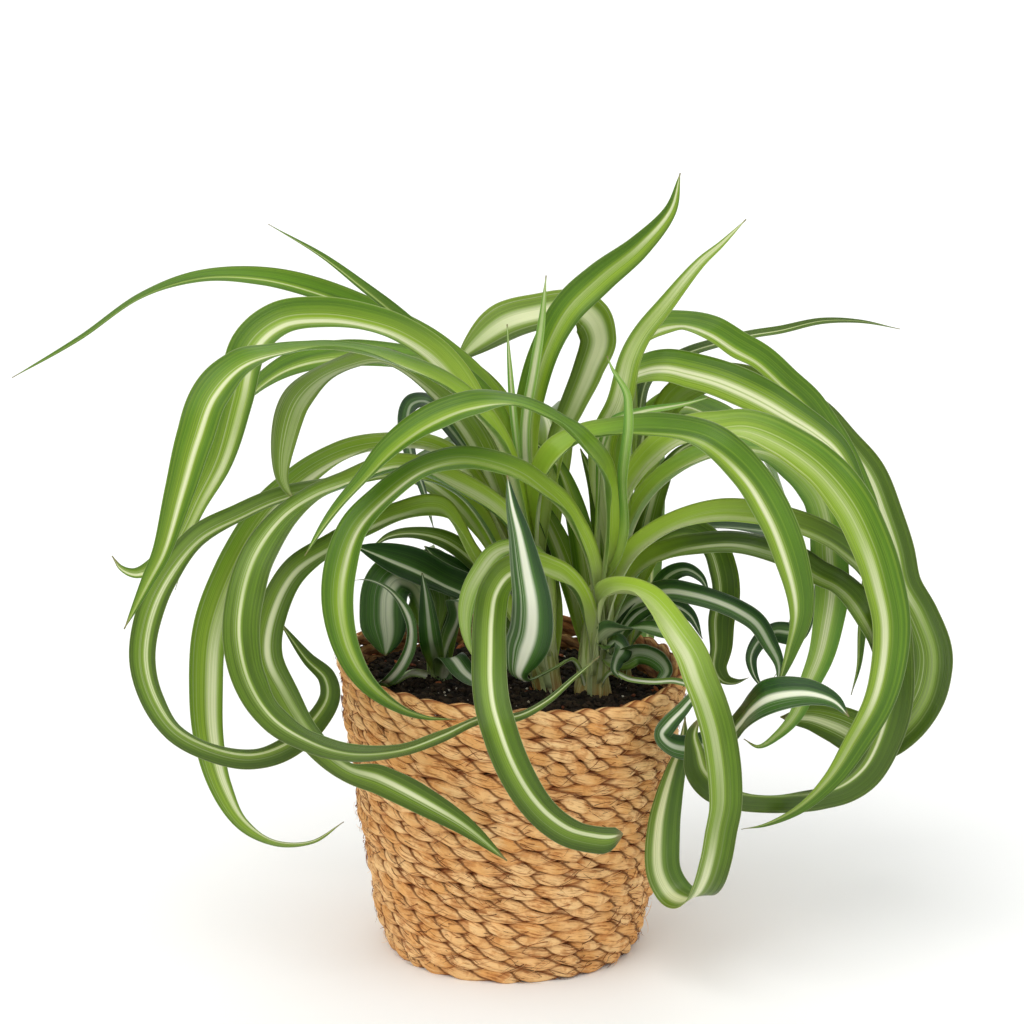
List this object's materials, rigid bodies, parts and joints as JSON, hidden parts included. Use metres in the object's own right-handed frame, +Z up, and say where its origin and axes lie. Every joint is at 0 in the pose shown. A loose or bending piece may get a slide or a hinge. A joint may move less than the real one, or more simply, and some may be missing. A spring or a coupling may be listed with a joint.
{
  "type": "potted spider plant",
  "caption": "Spider plant with curling striped leaves, rooted in soil inside a round coiled seagrass rope basket.",
  "frame": {"origin": "centre of the basket's flat underside, on the surface that the plant stands on", "axes": "+Z up, +X to the plant's right as seen from the front, -Y to the front"},
  "size_m": [0.384, 0.2489, 0.3254],
  "materials": {
    "seagrass_rope": "matt, dry twisted grass",
    "plastic_film": "thin film",
    "potting_soil": "loose damp peat",
    "shoot": "fresh, slightly waxy",
    "leaf_bright": "waxy, cream stripe",
    "leaf_green": "waxy, cream stripe",
    "leaf_dark": "waxy, pale stripe",
    "leaf_pale": "waxy, broad cream stripe"
  },
  "bodies": {
    "root": {"basket": "seagrass_rope", "liner": "plastic_film", "soil": "potting_soil", "shoot_mid": "shoot", "shoot_main": "shoot", "shoot_back": "shoot", "shoot_left": "shoot", "leaf_left_long": "leaf_bright", "leaf_left_thin": "leaf_bright", "leaf_left_arch_back": "leaf_bright", "leaf_left_arch_front": "leaf_bright", "leaf_left_dark_curl": "leaf_dark", "leaf_left_hanging": "leaf_bright", "leaf_left_ring_far": "leaf_green", "leaf_left_loop_big": "leaf_green", "leaf_left_loop_low": "leaf_green", "leaf_front_pale_arch": "leaf_pale", "leaf_top_tall": "leaf_bright", "leaf_top_fold": "leaf_bright", "leaf_right_arch_inner": "leaf_bright", "leaf_inner_back": "leaf_dark", "leaf_inner_left_low": "leaf_dark", "leaf_inner_left_mid": "leaf_dark", "leaf_top_arch_left": "leaf_bright", "leaf_front_ring": "leaf_bright", "leaf_front_hanging": "leaf_green", "leaf_front_upright": "leaf_dark", "leaf_front_right": "leaf_bright", "leaf_right_largest": "leaf_bright", "leaf_right_inner_long": "leaf_pale", "leaf_right_loop_upper": "leaf_green", "leaf_right_loop_lower": "leaf_green", "leaf_right_dark_stripe": "leaf_dark", "leaf_right_spiral": "leaf_dark", "leaf_top_right_tall": "leaf_bright", "leaf_top_right_arch": "leaf_bright", "leaf_top_right_wide": "leaf_bright", "leaf_top_right_far": "leaf_dark", "leaf_right_outer": "leaf_dark", "leaf_right_droop_inner": "leaf_green", "leaf_right_hook": "leaf_dark", "leaf_soil_wide": "leaf_dark", "leaf_soil_curl": "leaf_dark", "leaf_soil_upright": "leaf_dark", "leaf_soil_flat": "leaf_dark", "leaf_soil_pale": "leaf_pale", "leaf_back_middle": "leaf_green", "leaf_back_right": "leaf_green", "leaf_back_right_high": "leaf_bright", "leaf_back_left_ring": "leaf_green", "leaf_back_left_far": "leaf_green", "leaf_back_left_high": "leaf_bright", "leaf_back_straight": "leaf_green", "leaf_back_low": "leaf_green"}
  },
  "joints": []
}
